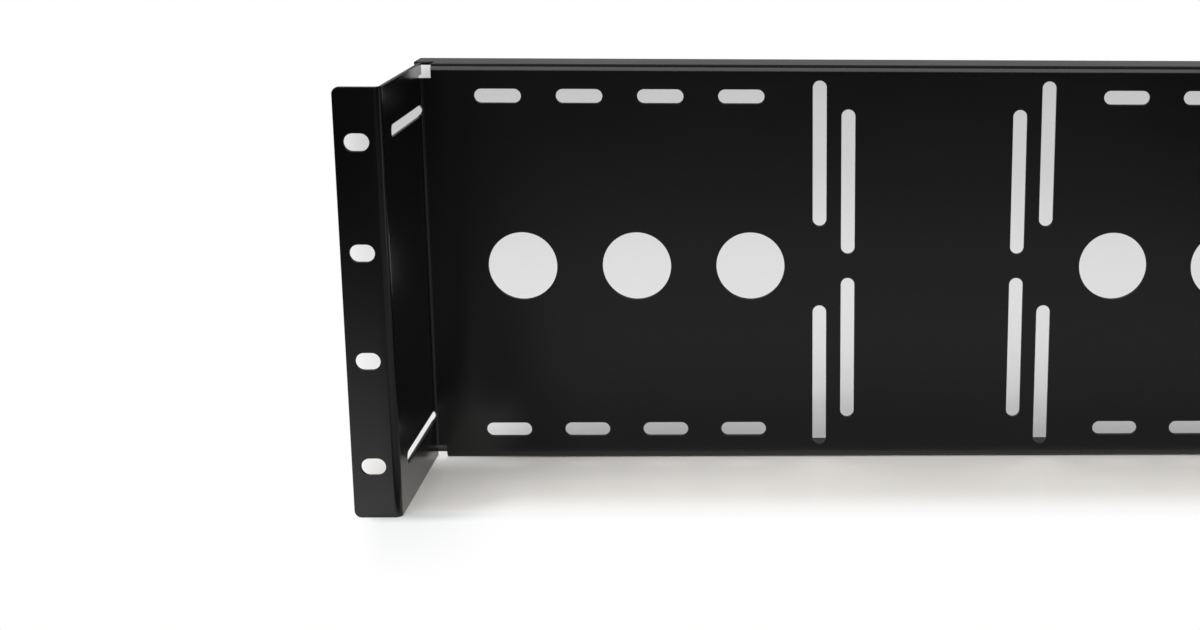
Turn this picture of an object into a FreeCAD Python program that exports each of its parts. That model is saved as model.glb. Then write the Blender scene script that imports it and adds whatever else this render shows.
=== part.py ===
import FreeCAD, Part
import math
import os
from FreeCAD import Vector

# Rack monitor mounting bracket: one steel sheet, cut out flat and then folded.
# Two side walls carry a panel behind the rack's front, ears turn outwards from the walls' front edges,
# and flanges turn backwards from the panel's top and bottom edges.
# Frame: the origin is the middle of the plane on which the ears' backs seat against the rack's rails,
# +X to the right seen from the front, +Y into the rack, +Z up. Lengths are millimetres.

# Sheet and folds
SHEET = 1.5               # thickness of the steel
BEND_INSIDE = 1.5         # inside radius of every fold
NEUTRAL_LAYER = 0.4       # where the unstretched layer lies in a fold, as a share of the sheet

# Outer form
OVERALL_WIDTH = 482.6     # over both ears
UNIT_HEIGHT = 44.45       # height of one rack unit
RACK_UNITS = 4            # units that the bracket fills
HEIGHT_CLEARANCE = 0.8    # by which it is lower than those units
EAR_WIDTH = 19.3          # outer edge of an ear to the recess face of its wall
EAR_CORNER = 3.0          # radius of the ears' outer corners
RECESS_DEPTH = 80.0       # front of the ears to front of the panel
FLANGE_DEPTH = 25.0       # front of the panel to rear edge of the flanges

# Corners, where the sheet is slit so that walls and flanges can fold apart
WALL_FOLD_END = 6.0       # top or bottom edge to the end of a wall's fold
FLANGE_FOLD_END = 4.7     # recess face of a wall to the end of a flange's fold
SLIT = 1.0                # gap between a wall's fold and the lug above or below it
TAB_GAP = 5.0             # gap between a wall's lug and the flange's tab behind it
TAB_OVERHANG = 2.5        # how far a tab stands out past the wall's outer face

# Slots for the rack screws, one for each unit on each ear
EAR_SLOT_LENGTH = 10.0
EAR_SLOT_WIDTH = 7.0
EAR_SLOT_INSET = 8.74     # outer edge of the ear to the slots' centres

# Upright slots for the screws of a display with one of two square patterns
LARGE_PATTERN = 100.0
SMALL_PATTERN = 75.0
SCREW_SLOT_WIDTH = 6.0
SLOT_TO_FOLD = 3.5        # flat metal from the large pattern's slots to the flange's fold
SLOT_BRIDGE = 11.0        # metal between the small pattern's upper and lower slots

# Round cable holes along the middle of the panel
CABLE_HOLE = 30.0         # diameter
CABLE_PITCH = 50.0
CABLE_INSET = 41.5        # recess face of a wall to the outermost hole's centre

# Cable tie slots along the panel's top and bottom
TIE_SLOT_LENGTH = 20.0
TIE_SLOT_WIDTH = 6.0
TIE_PITCH = 35.0
TIE_INSET = 33.0          # recess face of a wall to the outermost slot's centre
TIE_ROW_INSET = 13.5      # outer face of a flange to its row of slots

# Slots along the side walls, whose rear ends run into the fold
WALL_SLOT_WIDTH = 5.0
WALL_SLOT_INSET = 20.0    # top or bottom edge to the slot's middle
WALL_SLOT_START = 17.0    # front of the ears to the slot's front end
WALL_SLOT_STOP = 0.8      # slot's rear end to the panel's back

# Places that follow from the sizes above
half_width = OVERALL_WIDTH / 2
half_height = (RACK_UNITS * UNIT_HEIGHT - HEIGHT_CLEARANCE) / 2
bend_outside = BEND_INSIDE + SHEET
ear_front = -SHEET
panel_front = ear_front + RECESS_DEPTH
panel_back = panel_front + SHEET
flange_rear = panel_front + FLANGE_DEPTH
wall_inner = half_width - EAR_WIDTH
wall_outer = wall_inner + SHEET
wall_flat_end = panel_front - BEND_INSIDE
panel_flat_half = half_height - bend_outside
wall_fold_half = half_height - WALL_FOLD_END
flange_fold_half = wall_inner - FLANGE_FOLD_END

# A lug keeps the length that its strip of sheet had before the slit freed it from the fold.
fold_length = math.pi / 2 * (BEND_INSIDE + NEUTRAL_LAYER * SHEET)
lug_rear = wall_flat_end + fold_length + (wall_inner - BEND_INSIDE - flange_fold_half)
tab_front = lug_rear + TAB_GAP


def arc_edge(centre, radius, start_deg, end_deg, plane):
    """Arc about a centre, with angles counted from the plane's first axis towards its second."""
    def at(degrees):
        turn = math.radians(degrees)
        return plane(centre[0] + radius * math.cos(turn), centre[1] + radius * math.sin(turn))
    return Part.Arc(at(start_deg), at((start_deg + end_deg) / 2), at(end_deg)).toShape()


def closed_face(edges, plane):
    """Face inside a loop of edges: a pair of points makes a line, and arcs are given as edges."""
    shapes = []
    for item in edges:
        if isinstance(item, tuple):
            shapes.append(Part.makeLine(plane(*item[0]), plane(*item[1])))
        else:
            shapes.append(item)
    return Part.Face(Part.Wire(Part.__sortEdges__(shapes)))


def block(corner, opposite):
    """Box between two opposite corners."""
    low = Vector(*map(min, corner, opposite))
    high = Vector(*map(max, corner, opposite))
    size = high - low
    return Part.makeBox(size.x, size.y, size.z, low)


def side_fold():
    """Right ear, wall and the start of the panel: the plan section, drawn up over the height."""
    def plane(x, y):
        return Vector(x, y, -half_height)

    ear_bend = (wall_inner + bend_outside, ear_front + bend_outside)
    panel_bend = (wall_inner - BEND_INSIDE, panel_front - BEND_INSIDE)
    section = closed_face([
        ((half_width, 0), (half_width, ear_front)),
        ((half_width, ear_front), (ear_bend[0], ear_front)),
        arc_edge(ear_bend, bend_outside, 270, 180, plane),
        ((wall_inner, ear_bend[1]), (wall_inner, panel_bend[1])),
        arc_edge(panel_bend, BEND_INSIDE, 0, 90, plane),
        ((panel_bend[0], panel_front), (flange_fold_half, panel_front)),
        ((flange_fold_half, panel_front), (flange_fold_half, panel_back)),
        ((flange_fold_half, panel_back), (panel_bend[0], panel_back)),
        arc_edge(panel_bend, bend_outside, 90, 0, plane),
        ((wall_outer, panel_bend[1]), (wall_outer, ear_bend[1])),
        arc_edge(ear_bend, BEND_INSIDE, 180, 270, plane),
        ((ear_bend[0], 0), (half_width, 0)),
    ], plane)
    fold = section.extrude(Vector(0, 0, 2 * half_height))
    for side in (1, -1):
        edge_z = side * half_height
        fold_z = side * wall_fold_half
        lug_z = side * (wall_fold_half + SLIT)
        fold = fold.cut(block((flange_fold_half, wall_flat_end, fold_z), (wall_outer, panel_back, edge_z)))
        fold = fold.fuse(block((wall_inner, wall_flat_end, lug_z), (wall_outer, lug_rear, edge_z)))
    return round_ear_corners(fold)


def round_ear_corners(fold):
    """Rounds the two outer corners of the right ear."""
    def at_corner(edge):
        ends = [vertex.Point for vertex in edge.Vertexes]
        at_side = all(math.isclose(end.x, half_width) for end in ends)
        return at_side and math.isclose(ends[0].z, ends[-1].z)

    return fold.makeFillet(EAR_CORNER, [edge for edge in fold.Edges if at_corner(edge)])


def channel():
    """Panel with its flanges: the upright section, drawn across between the ends of the flange folds."""
    def plane(y, z):
        return Vector(-flange_fold_half, y, z)

    bend_y = panel_front + bend_outside
    inner_z = half_height - SHEET
    edges = [((panel_front, -panel_flat_half), (panel_front, panel_flat_half)),
             ((panel_back, -panel_flat_half), (panel_back, panel_flat_half))]
    for side in (1, -1):
        bend = (bend_y, side * panel_flat_half)
        edges += [
            arc_edge(bend, bend_outside, 180, 180 - side * 90, plane),
            arc_edge(bend, BEND_INSIDE, 180, 180 - side * 90, plane),
            ((bend_y, side * half_height), (flange_rear, side * half_height)),
            ((flange_rear, side * half_height), (flange_rear, side * inner_z)),
            ((flange_rear, side * inner_z), (bend_y, side * inner_z)),
        ]
    return closed_face(edges, plane).extrude(Vector(2 * flange_fold_half, 0, 0))


def flange_tabs():
    """Plain ends of the right flanges, which cover the corners behind the wall's lugs."""
    tab_end = wall_outer + TAB_OVERHANG
    inner_z = half_height - SHEET
    return [
        block((flange_fold_half, tab_front, side * inner_z), (tab_end, flange_rear, side * half_height))
        for side in (1, -1)
    ]


def obround(x, z, length, width, along):
    """Slot cutter through the sheet about (x, z), rounded at both ends; along is the unit vector of its run."""
    radius = width / 2
    reach = along * (length / 2 - radius)
    across = along.cross(Vector(0, 1, 0)) * radius
    middle = Vector(x, ear_front - SHEET, z)
    corners = [middle + reach + across, middle + reach - across, middle - reach - across, middle - reach + across]
    outline = [
        Part.Arc(corners[0], middle + along * (length / 2), corners[1]).toShape(),
        Part.makeLine(corners[1], corners[2]),
        Part.Arc(corners[2], middle - along * (length / 2), corners[3]).toShape(),
        Part.makeLine(corners[3], corners[0]),
    ]
    return Part.Face(Part.Wire(outline)).extrude(Vector(0, panel_back + SHEET - middle.y, 0))


def row_places(inset, pitch, length):
    """Distances from the middle, from the wall inwards, of holes that stay clear of the screw slots."""
    outermost = wall_inner - inset
    innermost = LARGE_PATTERN / 2 + SCREW_SLOT_WIDTH + length / 2
    count = int((outermost - innermost) / pitch) + 1
    return [outermost - i * pitch for i in range(count)]


def ear_slots():
    """Rack screw slots of the right ear, one in the middle of each unit."""
    x = half_width - EAR_SLOT_INSET
    heights = [(i - (RACK_UNITS - 1) / 2) * UNIT_HEIGHT for i in range(RACK_UNITS)]
    return [obround(x, z, EAR_SLOT_LENGTH, EAR_SLOT_WIDTH, Vector(1, 0, 0)) for z in heights]


def screw_slots():
    """Upright display slots of the right half, centred on the holes of the two square patterns."""
    large_length = 2 * (panel_flat_half - SLOT_TO_FOLD) - LARGE_PATTERN
    small_length = SMALL_PATTERN - SLOT_BRIDGE
    slots = []
    for pattern, length in ((LARGE_PATTERN, large_length), (SMALL_PATTERN, small_length)):
        for z in (pattern / 2, -pattern / 2):
            slots.append(obround(pattern / 2, z, length, SCREW_SLOT_WIDTH, Vector(0, 0, 1)))
    return slots


def tie_slots():
    """Cable tie slots of the right half, in one row below the top flange and one above the bottom flange."""
    row = half_height - TIE_ROW_INSET
    return [
        obround(x, z, TIE_SLOT_LENGTH, TIE_SLOT_WIDTH, Vector(1, 0, 0))
        for z in (row, -row)
        for x in row_places(TIE_INSET, TIE_PITCH, TIE_SLOT_LENGTH)
    ]


def cable_holes():
    """Round holes of the right half, at mid-height."""
    return [
        Part.makeCylinder(CABLE_HOLE / 2, 3 * SHEET, Vector(x, panel_front - SHEET, 0), Vector(0, 1, 0))
        for x in row_places(CABLE_INSET, CABLE_PITCH, CABLE_HOLE)
    ]


def wall_slots():
    """Slots of the right wall, round at both ends and cut from the side up to the panel's flat."""
    radius = WALL_SLOT_WIDTH / 2
    ends = (ear_front + WALL_SLOT_START + radius, panel_back - WALL_SLOT_STOP - radius)
    inner = wall_inner - BEND_INSIDE
    outer = wall_outer + SHEET
    cutters = []
    for z in (half_height - WALL_SLOT_INSET, WALL_SLOT_INSET - half_height):
        straight = block((inner, ends[0], z - radius), (outer, ends[1], z + radius))
        round_ends = [
            Part.makeCylinder(radius, outer - inner, Vector(inner, y, z), Vector(1, 0, 0))
            for y in ends
        ]
        cutters.append(straight.multiFuse(round_ends))
    return cutters


def mirrored(shapes):
    """The shapes and their mirror images on the left half."""
    return shapes + [shape.mirror(Vector(0, 0, 0), Vector(1, 0, 0)) for shape in shapes]


def bracket():
    """The whole folded sheet as one solid."""
    sheet = channel().multiFuse(mirrored([side_fold()] + flange_tabs())).removeSplitter()
    holes = ear_slots() + screw_slots() + tie_slots() + cable_holes() + wall_slots()
    return sheet.cut(Part.makeCompound(mirrored(holes))).removeSplitter()


os.makedirs("parts", exist_ok=True)
body = bracket()
body.Solids[0].exportStep("parts/bracket.step")
print("solids", len(body.Solids), "valid", body.isValid(), "faces", len(body.Faces))
print("volume", round(body.Volume, 1), "box", body.BoundBox)
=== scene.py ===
import math

import bmesh
import bpy
from mathutils import Matrix, Vector


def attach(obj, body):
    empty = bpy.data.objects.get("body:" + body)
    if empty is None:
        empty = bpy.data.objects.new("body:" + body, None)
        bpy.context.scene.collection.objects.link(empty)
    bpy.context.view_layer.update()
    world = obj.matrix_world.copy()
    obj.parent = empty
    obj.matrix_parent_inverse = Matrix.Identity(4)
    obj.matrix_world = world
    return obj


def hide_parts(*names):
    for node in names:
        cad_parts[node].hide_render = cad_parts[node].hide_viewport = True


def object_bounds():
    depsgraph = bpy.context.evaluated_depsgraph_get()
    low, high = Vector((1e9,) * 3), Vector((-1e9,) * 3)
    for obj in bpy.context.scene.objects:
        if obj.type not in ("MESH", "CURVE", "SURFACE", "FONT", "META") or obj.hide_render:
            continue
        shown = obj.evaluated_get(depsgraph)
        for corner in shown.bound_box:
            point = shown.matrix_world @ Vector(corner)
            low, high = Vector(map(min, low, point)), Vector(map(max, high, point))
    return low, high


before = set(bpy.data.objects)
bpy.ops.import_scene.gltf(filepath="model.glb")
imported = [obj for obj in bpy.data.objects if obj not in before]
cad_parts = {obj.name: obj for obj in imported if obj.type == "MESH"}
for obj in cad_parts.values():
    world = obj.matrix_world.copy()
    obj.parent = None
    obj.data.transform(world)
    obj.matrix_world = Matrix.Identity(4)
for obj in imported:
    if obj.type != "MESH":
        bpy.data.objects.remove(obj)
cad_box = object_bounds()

# The bracket is made here as it is in the workshop: a flat blank with rounded edges, which is then folded.
# The blank lies in millimetres with u across, v up and the middle of the panel at (0, 0).

# Overall sizes, from the frame
HALF_WIDTH = round(1000 * cad_box[1].x, 3)
HALF_HEIGHT = round(1000 * cad_box[1].z, 3)
FLANGE_REAR = round(1000 * cad_box[1].y, 3)

# Sheet and folds
SHEET = 1.5
BEND_INSIDE = 1.5
NEUTRAL_LAYER = 0.4
EDGE_ROUND = 0.3            # rounding that the coat gives to the cut edges
EDGE_STEPS = 3
FOLD_STEPS = 8
ARC_STEPS = 12              # for each half of a slot's end

# Ears, walls and corners, as in the CAD model
EAR_WIDTH = 19.3            # outer edge of an ear to the recess face of its wall
EAR_CORNER = 3.0
EAR_BACK = 0.0
RECESS_DEPTH = 80.0         # front of the ears to front of the panel
WALL_FOLD_END = 6.0         # top or bottom edge to the end of a wall's fold
FLANGE_FOLD_END = 4.7       # recess face of a wall to the end of a flange's fold
SLIT = 1.0                  # gap between a wall's fold and the lug above or below it
TAB_GAP = 5.0               # gap between a wall's lug and the flange's tab behind it
TAB_OVERHANG = 2.5          # how far a tab stands out past the wall's outer face
KERF = 0.3                  # width of the cut that frees a lug from the flange's fold

# Holes, as in the CAD model. Insets are from a wall's recess face, unless they name another edge.
RACK_UNITS = 4              # one slot for each on each ear
UNIT_HEIGHT = 44.45
EAR_SLOT = (10.0, 7.0)
EAR_SLOT_INSET = 8.74       # from the ear's outer edge
LARGE_PATTERN = 100.0       # square patterns of a display's screws
SMALL_PATTERN = 75.0
SCREW_SLOT_WIDTH = 6.0
SLOT_TO_FOLD = 3.5          # flat metal from the large pattern's slots to the flange's fold
SLOT_BRIDGE = 11.0          # metal between the small pattern's upper and lower slots
TIE_SLOT = (20.0, 6.0)
TIE_COUNT = 4
TIE_PITCH = 35.0
TIE_INSET = 33.0
TIE_ROW_INSET = 13.5        # from the top or bottom edge
CABLE_RADIUS = 15.0
CABLE_COUNT = 3
CABLE_PITCH = 50.0
CABLE_INSET = 41.5
WALL_SLOT_WIDTH = 5.0
WALL_SLOT_INSET = 20.0      # from the top or bottom edge
WALL_SLOT_START = 17.0      # from the front of the ears
WALL_SLOT_TURN = 60.0       # degrees round the fold at which the rear end lies

# Coat
COAT_COLOURS = ((0.0014, 0.0014, 0.0015), (0.0020, 0.0020, 0.0021))
COAT_ROUGHNESS = (0.18, 0.23)
CLOUD_SCALE = 14.0
CLOUD_RANGE = (0.3, 0.7)    # noise levels between which colour and gloss change
PEBBLE_SCALE = 1100.0
PEBBLE_HEIGHT = 0.0001      # metres

# Floor, in metres. Behind the part it is lit, up to where sight lines past the part meet it.
FLOOR_WIDTH = 6.0
FLOOR_FRONT = -1.7
FLOOR_REAR = 4.5
FLOOR_ROUGHNESS = 0.18
FLOOR_GLOSS = 0.15
EAR_SIGHT = HALF_WIDTH / 1000   # sight lines past an ear's outer edge: from the middle, at the ear
EAR_SIGHT_SLOPE = 0.2366    # and further out for each metre behind it
WALL_SIGHT = 0.529          # sight lines along the top of a wall: from the middle
TOP_SIGHT = 1.735           # sight lines over the upper flange: behind the ears
SIDE_FADE = 0.05            # width over which the lit floor turns white before the side lines, at the ear
SIDE_FADE_SLOPE = 0.04      # and wider for each metre behind it
TOP_FADE = 0.305            # the same before the line over the flange
FADE_POWER = 5.0            # both turn slowly at first and fast at the lines
WALL_LIGHT = 0.55           # painted light: share of white on the floor at the walls' rear ends
WALL_LIGHT_SIDES = (0.17, 0.235)            # it rises between these, from the middle
WALL_LIGHT_RUN = (0.055, 0.085, 0.15, 0.25)     # and rises and ends over these distances behind the ears
FRONT_FADE = (0.035, -0.008)    # the recess's floor turns white between these places
EAR_SHADE_REACH = 0.021     # at an ear's foot this fade lies further forward and is half as long
EAR_SHADE_INNER = (0.174, 0.218)            # the shade there rises between these, from the middle
EAR_SHADE_OUTER = 0.012     # and ends over this width before the sight line past the ear
EAR_SHADE = 0.18            # share of the faint shade on the floor before the ear: lit floor in a painted shade colour, with the lamps' own shadow
EAR_SHADE_RUN = (-0.085, -0.005)            # over which it rises to that
# The lit floor's colour holds a painted shade before the ears and a painted shadow at the panel's foot, and
# dips a little around 0.9 m behind.
FLOOR_TONES_AND_SHADE = [             # distance behind the ears and colour: painted shade, recess, painted shadow at the panel's foot, open floor
    (0.000, (0.585, 0.620, 0.640)),
    (0.004, (0.875, 0.850, 0.815)),
    (0.080, (0.875, 0.850, 0.815)),
    (0.115, (0.620, 0.617, 0.620)),
    (0.190, (0.800, 0.797, 0.802)),
    (0.450, (0.795, 0.792, 0.798)),
    (0.900, (0.745, 0.743, 0.752)),
    (1.450, (0.850, 0.847, 0.858)),
]

# Floor and room as the coat mirrors them: painted reflections, for the floor glows at these levels though it
# is no lamp.
# A pair of places is where a level starts and ends its rise or fall.
RECESS_REAR = (0.075, 0.065)    # the floor between the walls ends here
RECESS_SIDE = (0.205, 0.185)
PANEL_GLOW = (0.13, 0.43)   # level of the floor before the part as the panel mirrors it, from far to near
PANEL_GLOW_RUN = (-0.95, -0.22)
PANEL_GLOW_LINE = (0.215, 0.165)
FOOT_LOSS = 0.33            # share by which that level falls between the ears: a painted shade near the foot in the reflections
FOOT_LOSS_RUN = (-0.12, 0.03)
RECESS_GLOW = 0.75          # share of that level between the walls
RECESS_GLOW_RUN = (-0.02, 0.02)
EAR_GLOW = 1.12             # level as the ears mirror it, which rises from nothing over a run before them
EAR_GLOW_RUN = (-0.8, 0.0)
EAR_GLOW_POWER = 2.2
EAR_GLOW_LINE = (0.212, 0.226)
MIRROR_SLOPE = 0.19         # how far the line between those two runs outwards for each metre before the part
BACKDROP_GLOW = 0.26        # low and behind the part
BACKDROP_TURN = (0.2, 0.6)
BACKDROP_HEIGHT = (0.45, 0.25)
CEILING_GLOW = 0.2
CEILING_HEIGHT = (0.4, 0.7)
ROOM_GLOW = 0.025

# Places in the folded part
BEND_OUTSIDE = BEND_INSIDE + SHEET
EAR_FRONT = EAR_BACK - SHEET
EAR_BEND_Y = EAR_BACK + BEND_INSIDE
PANEL_FRONT = EAR_FRONT + RECESS_DEPTH
FLANGE_BEND_Y = PANEL_FRONT + BEND_OUTSIDE
WALL_FLAT_END = PANEL_FRONT - BEND_INSIDE
WALL_INNER = HALF_WIDTH - EAR_WIDTH
EAR_BEND_X = WALL_INNER + BEND_OUTSIDE
WALL_FOLD_HALF = HALF_HEIGHT - WALL_FOLD_END
FLANGE_FOLD_HALF = WALL_INNER - FLANGE_FOLD_END
TAB_END = WALL_INNER + SHEET + TAB_OVERHANG

# Places in the blank
NEUTRAL_RADIUS = BEND_INSIDE + NEUTRAL_LAYER * SHEET
FOLD_LENGTH = math.pi / 2 * NEUTRAL_RADIUS
WALL_FOLD_U = WALL_INNER - BEND_INSIDE
WALL_U = WALL_FOLD_U + FOLD_LENGTH
EAR_FOLD_U = WALL_U + WALL_FLAT_END - EAR_BEND_Y
EAR_U = EAR_FOLD_U + FOLD_LENGTH
EAR_END_U = EAR_U + HALF_WIDTH - EAR_BEND_X
FLANGE_FOLD_V = HALF_HEIGHT - BEND_OUTSIDE
FLANGE_V = FLANGE_FOLD_V + FOLD_LENGTH
FLANGE_END_V = FLANGE_V + FLANGE_REAR - FLANGE_BEND_Y
LUG_LENGTH = WALL_U - FLANGE_FOLD_HALF
LUG_LOW_V = WALL_FOLD_HALF + SLIT
TAB_FRONT_V = FLANGE_V + WALL_FLAT_END + LUG_LENGTH + TAB_GAP - FLANGE_BEND_Y
SIDE_TOP_V = (HALF_HEIGHT + TAB_FRONT_V) / 2


def arc(centre, radius, start_deg, end_deg, steps):
    """Points on an arc, both ends included."""
    turns = [math.radians(start_deg + (end_deg - start_deg) * i / steps) for i in range(steps + 1)]
    return [(centre[0] + radius * math.cos(a), centre[1] + radius * math.sin(a)) for a in turns]


def slot(centre, size):
    """Outline of a slot with round ends, which runs along the longer of its two sizes."""
    radius = min(size) / 2
    reach_u, reach_v = size[0] / 2 - radius, size[1] / 2 - radius
    start = -90 if reach_u > 0 else 0
    first = arc((centre[0] + reach_u, centre[1] + reach_v), radius, start, start + 180, 2 * ARC_STEPS)
    second = arc((centre[0] - reach_u, centre[1] - reach_v), radius, start + 180, start + 360, 2 * ARC_STEPS)
    return first + second


def outer_outline():
    """Edge of the whole blank, counter-clockwise, from one quarter that is mirrored twice."""
    lug_end = FLANGE_FOLD_HALF + KERF
    quarter = arc((EAR_END_U - EAR_CORNER, HALF_HEIGHT - EAR_CORNER), EAR_CORNER, 0, 90, ARC_STEPS)
    quarter += [
        (lug_end, HALF_HEIGHT), (lug_end, LUG_LOW_V), (WALL_U, LUG_LOW_V), (WALL_U, WALL_FOLD_HALF),
        (FLANGE_FOLD_HALF, WALL_FOLD_HALF), (FLANGE_FOLD_HALF, TAB_FRONT_V),
        (TAB_END, TAB_FRONT_V), (TAB_END, FLANGE_END_V),
    ]
    top = quarter + [(-u, v) for u, v in reversed(quarter)]
    return top + [(-u, -v) for u, v in top]


def upper_holes():
    """Edges of the right half's holes above the middle, counter-clockwise."""
    ear_u = EAR_END_U - EAR_SLOT_INSET
    holes = [slot((ear_u, UNIT_HEIGHT * (i + 0.5)), EAR_SLOT) for i in range(RACK_UNITS // 2)]

    large, small = LARGE_PATTERN / 2, SMALL_PATTERN / 2
    holes.append(slot((large, large), (SCREW_SLOT_WIDTH, 2 * (FLANGE_FOLD_V - SLOT_TO_FOLD - large))))
    holes.append(slot((small, small), (SCREW_SLOT_WIDTH, 2 * small - SLOT_BRIDGE)))

    for i in reversed(range(TIE_COUNT)):
        place = (WALL_INNER - TIE_INSET - TIE_PITCH * i, HALF_HEIGHT - TIE_ROW_INSET)
        holes.append(slot(place, TIE_SLOT))

    front_u = WALL_U + WALL_FLAT_END - EAR_FRONT - WALL_SLOT_START
    rear_u = WALL_U - FOLD_LENGTH * WALL_SLOT_TURN / 90
    middle = ((front_u + rear_u) / 2, HALF_HEIGHT - WALL_SLOT_INSET)
    holes.append(slot(middle, (front_u - rear_u, WALL_SLOT_WIDTH)))
    return holes


def hole_outlines():
    """Edges of all holes, clockwise."""
    upper = upper_holes()
    right = upper + [[(u, -v) for u, v in reversed(hole)] for hole in upper]
    for i in reversed(range(CABLE_COUNT)):
        centre = (WALL_INNER - CABLE_INSET - CABLE_PITCH * i, 0)
        right.append(arc(centre, CABLE_RADIUS, 0, 360, 6 * ARC_STEPS)[:-1])
    holes = right + [[(-u, v) for u, v in reversed(hole)] for hole in right]
    return [hole[::-1] for hole in holes]


def inset(outline, depth):
    """The outline moved into the metal, which lies on its left, by a depth."""
    moved = []
    for i, point in enumerate(outline):
        here = Vector(point)
        before = (here - Vector(outline[i - 1])).normalized()
        after = (Vector(outline[(i + 1) % len(outline)]) - here).normalized()
        left = Vector((-before.y - after.y, before.x + after.x)).normalized()
        share = max(0.2, left.dot(Vector((-after.y, after.x))))
        moved.append(here + left * (depth / share))
    return moved


def edge_profile():
    """Depth into the metal and height over the sheet's middle, from the back round the edge to the front."""
    half = SHEET / 2
    turns = [math.pi / 2 * i / EDGE_STEPS for i in range(EDGE_STEPS + 1)]
    back = [(EDGE_ROUND * (1 - math.sin(a)), EDGE_ROUND * (1 - math.cos(a)) - half) for a in turns]
    return back + [(depth, -height) for depth, height in reversed(back)]


def flat_blank():
    """The blank as a closed mesh, with (u, v) in x and y and the front of the panel at z = SHEET / 2."""
    bm = bmesh.new()
    back_edges, front_edges = [], []
    for outline in [outer_outline()] + hole_outlines():
        rings = []
        for depth, height in edge_profile():
            rings.append([bm.verts.new((p[0], p[1], height)) for p in inset(outline, depth)])
        for lower, upper in zip(rings, rings[1:]):
            for i in range(len(outline)):
                j = (i + 1) % len(outline)
                bm.faces.new((lower[i], lower[j], upper[j], upper[i]))
        for ring, edges in ((rings[0], back_edges), (rings[-1], front_edges)):
            edges += [bm.edges.get((ring[i - 1], ring[i])) for i in range(len(ring))]
    bmesh.ops.triangle_fill(bm, edges=front_edges, use_beauty=True, normal=(0, 0, 1))
    bmesh.ops.triangle_fill(bm, edges=back_edges, use_beauty=True, normal=(0, 0, -1))
    return bm


def cut_across(bm, axis, start):
    """Cuts edges across a fold, so that it can bend."""
    for i in range(FOLD_STEPS + 1):
        place = start + math.copysign(FOLD_LENGTH * i / FOLD_STEPS, start)
        point, normal = Vector((0, 0, 0)), Vector((0, 0, 0))
        point[axis], normal[axis] = place, 1
        geometry = bm.verts[:] + bm.edges[:] + bm.faces[:]
        bmesh.ops.bisect_plane(bm, geom=geometry, dist=1e-5, plane_co=point, plane_no=normal)


def bend(run, start, from_inside):
    """How far along and how far up a point gets on a quarter fold and the flat after it.

    run is the place along the sheet, start where the fold starts, and from_inside the depth from the fold's
    inner face. The answers count from the start of the fold and from the centre of its arc."""
    turn = min(max((run - start) / NEUTRAL_RADIUS, 0.0), math.pi / 2)
    radius = BEND_INSIDE + from_inside
    rest = max(run - start - FOLD_LENGTH, 0.0)
    return radius * math.sin(turn), radius * math.cos(turn) - rest


def folded(u, v, height):
    """Place in the folded part of a point of the blank."""
    side_u, side_v = math.copysign(1, u), math.copysign(1, v)
    u, v = abs(u), abs(v)
    from_front = SHEET / 2 - height
    if u <= FLANGE_FOLD_HALF + KERF / 2 or v > SIDE_TOP_V:
        if v <= FLANGE_FOLD_V:
            return side_u * u, PANEL_FRONT + from_front, side_v * v
        out, up = bend(v, FLANGE_FOLD_V, SHEET - from_front)
        return side_u * u, FLANGE_BEND_Y - up, side_v * (FLANGE_FOLD_V + out)
    z = side_v * v
    if v > (WALL_FOLD_HALF + LUG_LOW_V) / 2 and u < WALL_U:
        stretch = LUG_LENGTH / (LUG_LENGTH - KERF)
        return side_u * (WALL_INNER + from_front), WALL_FLAT_END + (WALL_U - u) * stretch, z
    if u <= WALL_FOLD_U:
        return side_u * u, PANEL_FRONT + from_front, z
    if u <= EAR_FOLD_U:
        out, up = bend(u, WALL_FOLD_U, from_front)
        return side_u * (WALL_FOLD_U + out), WALL_FLAT_END + up, z
    out, up = bend(u, EAR_FOLD_U, SHEET - from_front)
    return side_u * (EAR_BEND_X - up), EAR_BEND_Y - out, z


def folded_sheet(name):
    """The bracket as one closed mesh."""
    bm = flat_blank()
    for start in (WALL_FOLD_U, EAR_FOLD_U):
        cut_across(bm, 0, start)
        cut_across(bm, 0, -start)
    cut_across(bm, 1, FLANGE_FOLD_V)
    cut_across(bm, 1, -FLANGE_FOLD_V)
    for vert in bm.verts:
        vert.co = Vector(folded(*vert.co)) / 1000
    bmesh.ops.recalc_face_normals(bm, faces=bm.faces[:])
    mesh = bpy.data.meshes.new(name)
    bm.to_mesh(mesh)
    bm.free()
    mesh.shade_smooth()
    piece = bpy.data.objects.new(name, mesh)
    bpy.context.scene.collection.objects.link(piece)
    weighted = piece.modifiers.new("flat_faces_stay_flat", "WEIGHTED_NORMAL")
    weighted.weight = 100
    return piece


def node(tree, kind, values=None, **settings):
    """A shader node with its settings and unlinked inputs."""
    made = tree.nodes.new(kind)
    for key, value in settings.items():
        setattr(made, key, value)
    for key, value in (values or {}).items():
        made.inputs[key].default_value = value
    return made


def ramp(tree, value, places, levels=(0.0, 1.0), kind="LINEAR"):
    """Runs from one level to the other between two places of a value, and stays level outside them."""
    limits = {"From Min": places[0], "From Max": places[1], "To Min": levels[0], "To Max": levels[1]}
    made = node(tree, "ShaderNodeMapRange", limits, interpolation_type=kind)
    tree.links.new(value, made.inputs["Value"])
    return made.outputs["Result"]


def fade(tree, value, start, end):
    """0 up to one place, 1 from another on, and smooth between."""
    return ramp(tree, value, (start, end), kind="SMOOTHSTEP")


def combine(tree, operation, first, second):
    """Sum, product or the like of two terms, each a socket or a number."""
    made = node(tree, "ShaderNodeMath", operation=operation)
    for socket, term in zip(made.inputs, (first, second)):
        if isinstance(term, (int, float)):
            socket.default_value = term
        else:
            tree.links.new(term, socket)
    return made.outputs["Value"]


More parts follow.
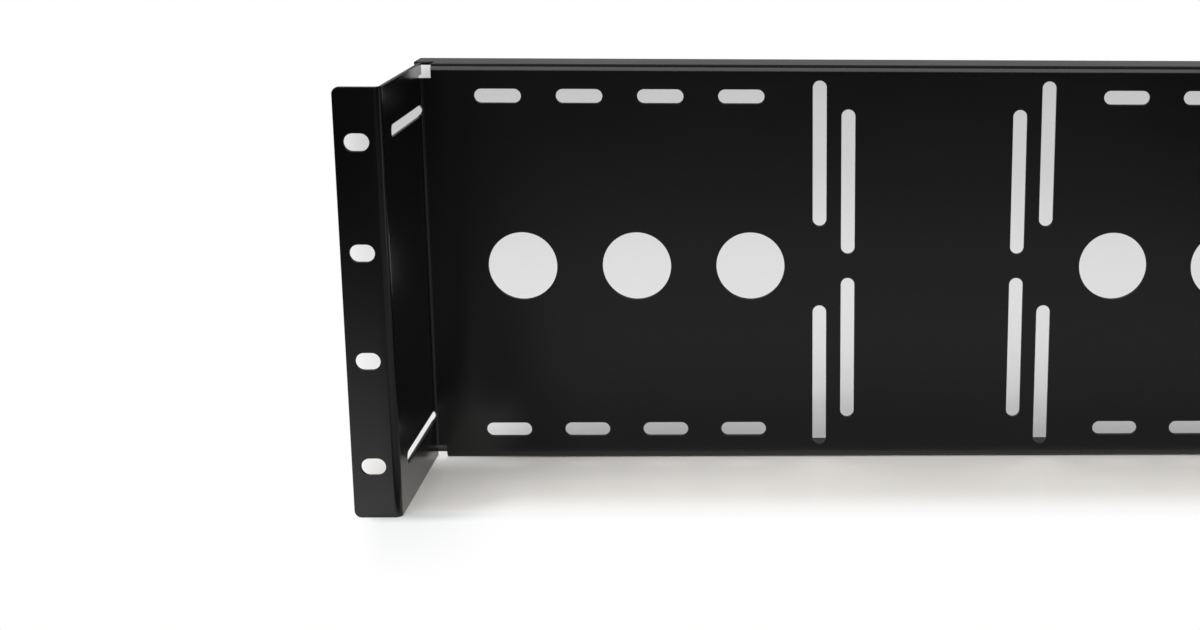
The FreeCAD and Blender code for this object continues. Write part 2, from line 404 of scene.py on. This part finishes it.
def black_coat():
    """Satin black powder coat: a fine pebbled skin, with faint clouds in its gloss and colour."""
    material = bpy.data.materials.new("black_coat")
    material.use_nodes = True
    tree = material.node_tree
    shader = tree.nodes["Principled BSDF"]
    shader.inputs["Specular IOR Level"].default_value = 0.5
    place = node(tree, "ShaderNodeTexCoord").outputs["Object"]

    clouds = node(tree, "ShaderNodeTexNoise", {"Scale": CLOUD_SCALE, "Detail": 3.0, "Roughness": 0.55})
    tree.links.new(place, clouds.inputs["Vector"])
    roughness = ramp(tree, clouds.outputs["Fac"], CLOUD_RANGE, COAT_ROUGHNESS)
    tree.links.new(roughness, shader.inputs["Roughness"])

    colour = node(tree, "ShaderNodeValToRGB")
    for stop, level, tone in zip(colour.color_ramp.elements, CLOUD_RANGE, COAT_COLOURS):
        stop.position = level
        stop.color = (*tone, 1)
    tree.links.new(clouds.outputs["Fac"], colour.inputs["Fac"])
    tree.links.new(colour.outputs["Color"], shader.inputs["Base Color"])

    pebbles = node(tree, "ShaderNodeTexNoise", {"Scale": PEBBLE_SCALE, "Detail": 2.0, "Roughness": 0.5})
    tree.links.new(place, pebbles.inputs["Vector"])
    bump = node(tree, "ShaderNodeBump", {"Strength": 0.12, "Distance": PEBBLE_HEIGHT})
    tree.links.new(pebbles.outputs["Fac"], bump.inputs["Height"])
    tree.links.new(bump.outputs["Normal"], shader.inputs["Normal"])
    return material


def white_share(tree, side, y):
    """Where the floor is as white as the backdrop: before the part, beside it and far behind it.

    Behind the part it stays a lit floor, and turns white towards the sight lines past the part. The ears keep
    a soft shade at their feet, partly the lamps' shadow and partly painted into the floor's colour there."""
    past_ear = combine(tree, "ADD", combine(tree, "MULTIPLY", y, EAR_SIGHT_SLOPE), EAR_SIGHT)
    sight = combine(tree, "MINIMUM", past_ear, WALL_SIGHT)
    width = combine(tree, "ADD", combine(tree, "MULTIPLY", y, SIDE_FADE_SLOPE), SIDE_FADE)
    off_sight = combine(tree, "DIVIDE", combine(tree, "SUBTRACT", side, sight), width)
    beside = ramp(tree, off_sight, (-1.0, 0.0))
    far = ramp(tree, y, (TOP_SIGHT - TOP_FADE, TOP_SIGHT))
    edge = combine(tree, "POWER", combine(tree, "MAXIMUM", beside, far), FADE_POWER)

    off_ear = combine(tree, "SUBTRACT", side, past_ear)
    by_ear = combine(tree, "MULTIPLY", fade(tree, side, *EAR_SHADE_INNER),
                     fade(tree, off_ear, 0.0, -EAR_SHADE_OUTER))
    further = combine(tree, "MULTIPLY", by_ear, combine(tree, "ADD", y, EAR_SHADE_REACH))
    faint = combine(tree, "MULTIPLY", fade(tree, y, *EAR_SHADE_RUN), EAR_SHADE)
    unshaded = combine(tree, "SUBTRACT", 1.0, combine(tree, "MULTIPLY", by_ear, faint))
    before = combine(tree, "MINIMUM", fade(tree, combine(tree, "ADD", y, further), *FRONT_FADE), unshaded)
    return combine(tree, "MAXIMUM", edge, before)


def wall_light(tree, side, y):
    """Painted light: share of white on the floor at the walls' rear ends, which the panel shades less than
    its own foot.
    """
    rise, full, ebb, end = WALL_LIGHT_RUN
    run = combine(tree, "MULTIPLY", fade(tree, y, rise, full), fade(tree, y, end, ebb))
    share = combine(tree, "MULTIPLY", fade(tree, side, *WALL_LIGHT_SIDES), WALL_LIGHT)
    return combine(tree, "MULTIPLY", run, share)


def mirrored_glow(tree, side, y):
    """How bright the floor glows in the coat's reflections, painted by place: one level for the panel and
    another for the ears.
    """
    line = combine(tree, "ADD", side, combine(tree, "MULTIPLY", y, MIRROR_SLOPE))
    loss = combine(tree, "MULTIPLY", fade(tree, y, *FOOT_LOSS_RUN), FOOT_LOSS)
    rise = ramp(tree, y, PANEL_GLOW_RUN, PANEL_GLOW)
    level = combine(tree, "MULTIPLY", rise, combine(tree, "SUBTRACT", 1.0, loss))
    between_walls = combine(tree, "MULTIPLY", fade(tree, y, *RECESS_GLOW_RUN), RECESS_GLOW)
    share = combine(tree, "MAXIMUM", fade(tree, line, *PANEL_GLOW_LINE), between_walls)
    panel = combine(tree, "MULTIPLY", level, share)
    ear_rise = combine(tree, "POWER", ramp(tree, y, EAR_GLOW_RUN), EAR_GLOW_POWER)
    ear_share = combine(tree, "MULTIPLY", fade(tree, line, *EAR_GLOW_LINE), EAR_GLOW)
    return combine(tree, "MAXIMUM", panel, combine(tree, "MULTIPLY", ear_rise, ear_share))


def floor_colour_and_shade(tree, y):
    """Colour of the lit floor, with a painted shadow at the foot of the panel and a painted shade before the
    ears.
    """
    colour = node(tree, "ShaderNodeValToRGB")
    stops = colour.color_ramp.elements
    stops.remove(stops[0])
    reach = FLOOR_TONES_AND_SHADE[-1][0]
    for distance, tone in FLOOR_TONES_AND_SHADE[:-1]:
        stops.new(distance / reach).color = (*tone, 1)
    stops[-1].color = (*FLOOR_TONES_AND_SHADE[-1][1], 1)
    tree.links.new(combine(tree, "DIVIDE", y, reach), colour.inputs["Fac"])
    return colour.outputs["Color"]


def floor_coat():
    """A pale floor, lit in the recess and behind the part, and as white as the backdrop everywhere else."""
    material = bpy.data.materials.new("floor_white")
    material.use_nodes = True
    tree = material.node_tree
    shader = tree.nodes["Principled BSDF"]
    shader.inputs["Roughness"].default_value = FLOOR_ROUGHNESS
    shader.inputs["Specular IOR Level"].default_value = FLOOR_GLOSS

    place = node(tree, "ShaderNodeSeparateXYZ")
    tree.links.new(node(tree, "ShaderNodeNewGeometry").outputs["Position"], place.inputs["Vector"])
    side, y = combine(tree, "ABSOLUTE", place.outputs["X"], 0), place.outputs["Y"]
    tree.links.new(floor_colour_and_shade(tree, y), shader.inputs["Base Color"])

    ray = node(tree, "ShaderNodeLightPath")
    seen = ray.outputs["Is Camera Ray"]
    unseen = combine(tree, "SUBTRACT", 1.0, seen)
    # The floor glows at painted levels for all rays but the camera's, though it is no lamp.
    glow = node(tree, "ShaderNodeEmission", {"Color": (1, 1, 1, 1)})
    unseen_glow = combine(tree, "MULTIPLY", mirrored_glow(tree, side, y), unseen)
    tree.links.new(combine(tree, "ADD", unseen_glow, seen), glow.inputs["Strength"])

    # In the recess the coat mirrors that painted glow instead of the lit floor.
    in_recess = combine(tree, "MULTIPLY", fade(tree, y, *RECESS_REAR), fade(tree, side, *RECESS_SIDE))
    mirrored = combine(tree, "MULTIPLY", ray.outputs["Is Glossy Ray"], in_recess)
    lighter = combine(tree, "MULTIPLY", wall_light(tree, side, y), seen)
    white = combine(tree, "MAXIMUM", white_share(tree, side, y), lighter)
    mix = node(tree, "ShaderNodeMixShader")
    tree.links.new(combine(tree, "MAXIMUM", white, mirrored), mix.inputs["Fac"])
    tree.links.new(shader.outputs["BSDF"], mix.inputs[1])
    tree.links.new(glow.outputs["Emission"], mix.inputs[2])
    tree.links.new(mix.outputs["Shader"], tree.nodes["Material Output"].inputs["Surface"])
    return material


def white_floor(level):
    """The floor that the part stands on, which isn't part of the object."""
    bpy.ops.mesh.primitive_plane_add(size=1)
    floor = bpy.context.object
    floor.name = "floor"
    floor.scale = (FLOOR_WIDTH, FLOOR_REAR - FLOOR_FRONT, 1.0)
    floor.location = (0, (FLOOR_REAR + FLOOR_FRONT) / 2, level)
    floor.data.materials.append(floor_coat())


def area_lamp(name, place, target, size, power):
    """A soft box that faces a point."""
    lamp = bpy.data.lights.new(name, "AREA")
    lamp.shape = "RECTANGLE"
    lamp.size, lamp.size_y = size
    lamp.energy = power
    holder = bpy.data.objects.new(name, lamp)
    holder.location = place
    holder.rotation_mode = "QUATERNION"
    holder.rotation_quaternion = (Vector(target) - Vector(place)).to_track_quat("-Z", "Y")
    bpy.context.scene.collection.objects.link(holder)
    return holder


def studio_world():
    """A dark room in reflections, with a pale ceiling and a low backdrop; the camera sees plain white."""
    world = bpy.data.worlds.new("studio")
    bpy.context.scene.world = world
    world.use_nodes = True
    tree = world.node_tree
    tree.nodes.clear()
    output = node(tree, "ShaderNodeOutputWorld")
    direction = node(tree, "ShaderNodeSeparateXYZ")
    tree.links.new(node(tree, "ShaderNodeTexCoord").outputs["Generated"], direction.inputs["Vector"])
    ray = node(tree, "ShaderNodeLightPath")
    behind = fade(tree, direction.outputs["Y"], *BACKDROP_TURN)
    low = fade(tree, direction.outputs["Z"], *BACKDROP_HEIGHT)
    backdrop = combine(tree, "MULTIPLY", combine(tree, "MULTIPLY", behind, low), BACKDROP_GLOW)
    ceiling = combine(tree, "MULTIPLY", fade(tree, direction.outputs["Z"], *CEILING_HEIGHT), CEILING_GLOW)
    mirrored = combine(tree, "MULTIPLY", ceiling, ray.outputs["Is Glossy Ray"])
    room = combine(tree, "MAXIMUM", combine(tree, "MAXIMUM", backdrop, mirrored), ROOM_GLOW)
    level = combine(tree, "MAXIMUM", room, ray.outputs["Is Camera Ray"])
    background = node(tree, "ShaderNodeBackground", {"Color": (1, 1, 1, 1)})
    tree.links.new(level, background.inputs["Strength"])
    tree.links.new(background.outputs["Background"], output.inputs["Surface"])


def photo_camera():
    """The camera that was fitted to the photograph, whose frame is 1200 by 630 pixels."""
    width, height = 1200, 630
    focal, middle_x = 1967.42, 867.0
    place = Vector((-0.05966, -0.77326, 0.18352))
    yaw, pitch, roll = 0.03626, 0.23698, -0.00798
    forward = Vector((math.sin(yaw) * math.cos(pitch), math.cos(yaw) * math.cos(pitch), -math.sin(pitch)))
    level_right = Vector((math.cos(yaw), -math.sin(yaw), 0))
    level_down = forward.cross(level_right)
    right = math.cos(roll) * level_right + math.sin(roll) * level_down
    up = math.sin(roll) * level_right - math.cos(roll) * level_down
    data = bpy.data.cameras.new("camera")
    data.sensor_fit = "HORIZONTAL"
    data.sensor_width = 36.0
    data.lens = focal / width * data.sensor_width
    data.shift_x = 0.5 - middle_x / width
    camera = bpy.data.objects.new("camera", data)
    turn = Matrix((right, up, -forward)).transposed()
    camera.matrix_world = Matrix.Translation(place) @ turn.to_4x4()
    bpy.context.scene.collection.objects.link(camera)
    bpy.context.scene.camera = camera


bracket = folded_sheet("bracket_sheet")
bracket.data.materials.append(black_coat())
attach(bracket, "root")
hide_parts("bracket")

white_floor(cad_box[0].z)
area_lamp("key", place=(-0.25, -0.85, 0.95), target=(0, 0.05, 0), size=(2.3, 1.5), power=24.0)
overhead = area_lamp("overhead", place=(0, 0.92, 1.7), target=(0, 0.92, 0), size=(2.4, 2.2), power=37.5)
overhead.visible_glossy = False
studio_world()
photo_camera()
bpy.context.scene.view_settings.view_transform = "Standard"
